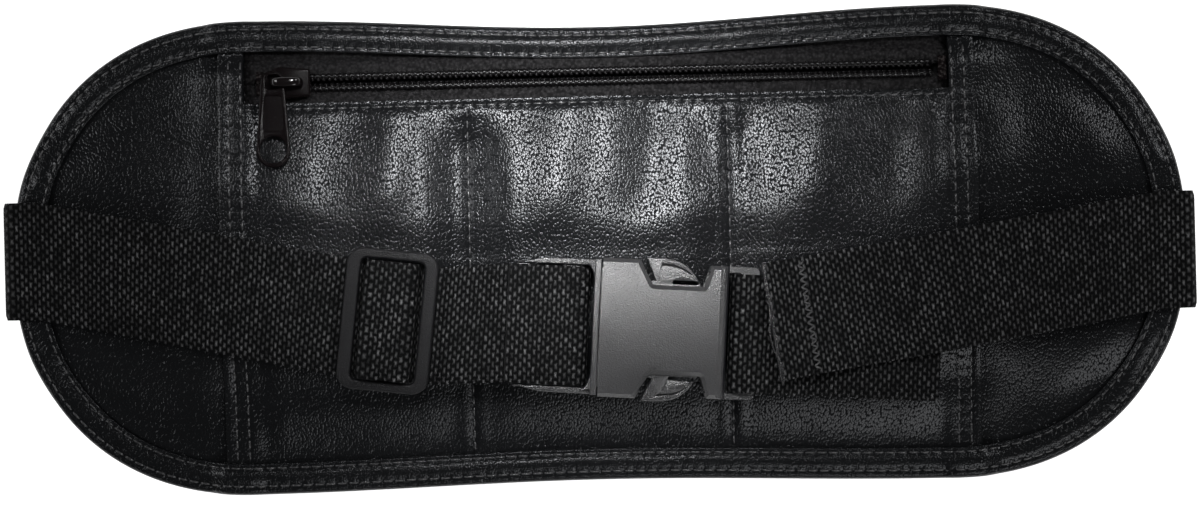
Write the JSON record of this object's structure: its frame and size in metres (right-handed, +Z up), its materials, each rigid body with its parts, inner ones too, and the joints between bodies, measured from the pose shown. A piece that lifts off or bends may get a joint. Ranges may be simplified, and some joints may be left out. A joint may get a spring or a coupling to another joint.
{
  "type": "money belt",
  "caption": "Flat leather waist pouch with a zipped pocket, on a webbing strap that closes across its face with a side release buckle and a sliding adjuster.",
  "frame": {"origin": "under the middle of the pouch, on the surface it lies on", "axes": "+Z up out of the face with the belt lying on its back, +X along the pouch from the adjuster to the housing of the buckle, +Y from the strap towards the zip"},
  "size_m": [0.2586, 0.1032, 0.0186],
  "materials": {
    "leather": "fine pebble grain, semi gloss",
    "binding": "fine grain, semi gloss, sewn with two rows of stitches",
    "lining": "plain thin cloth",
    "zip_tape": "woven tape",
    "zip_teeth": "nylon coil",
    "zip_metal": "black enamel",
    "webbing": "woven polypropylene webbing",
    "adjuster": "matte moulded plastic",
    "buckle": "satin moulded plastic"
  },
  "bodies": {
    "pouch": {"back_panel": "leather", "left_wing": "leather", "right_wing": "leather", "pocket_front": "leather", "edge_binding": "binding", "pocket_lining": "lining", "zip_tape_upper": "zip_tape", "zip_tape_lower": "zip_tape", "zip_teeth_upper": "zip_teeth", "zip_teeth_lower": "zip_teeth", "zip_top_stop_upper": "zip_metal", "zip_top_stop_lower": "zip_metal", "zip_bottom_stop": "zip_metal", "left_strap": "webbing", "right_strap": "webbing", "buckle_plug": "buckle"},
    "slider": {"zip_slider_body": "zip_metal", "slider_bridge": "zip_metal"},
    "pull": {"pull_tab": "zip_metal"},
    "adjuster": {"triglide": "adjuster"},
    "upper_latch": {"upper_latch_arm": "buckle"},
    "lower_latch": {"lower_latch_arm": "buckle"},
    "socket": {"buckle_housing": "buckle", "housing_loop": "webbing"}
  },
  "joints": [
    {"name": "zip_slide", "type": "slide", "parent": "pouch", "child": "slider", "axis": [1, 0, 0], "range_m": [0, 0.1355], "deforming": ["zip_teeth_upper", "zip_teeth_lower"]},
    {"name": "pull_swing", "type": "hinge", "parent": "slider", "child": "pull", "pos_m": [-0.06995, 0.0378, 0.0085], "axis": [0, 0, 1], "range_deg": [-95, 45]},
    {"name": "adjuster_slide", "type": "slide", "parent": "pouch", "child": "adjuster", "axis": [0.9925, -0.1219, 0], "range_m": [-0.03, 0.006], "deforming": ["left_strap"]},
    {"name": "upper_latch_press", "type": "hinge", "parent": "pouch", "child": "upper_latch", "pos_m": [0.00211, -0.00955, 0.0139], "axis": [0, 0, -1], "range_deg": [0, 10], "stiffness_Nm_per_rad": 0.4},
    {"name": "lower_latch_press", "type": "hinge", "parent": "pouch", "child": "lower_latch", "pos_m": [0.00108, -0.02392, 0.0139], "axis": [0, 0, 1], "range_deg": [0, 10], "stiffness_Nm_per_rad": 0.4},
    {"name": "housing_release", "type": "slide", "parent": "pouch", "child": "socket", "axis": [0.9974, -0.0715, 0], "range_m": [0, 0.026], "deforming": ["right_strap", "upper_latch_arm", "lower_latch_arm"]}
  ]
}
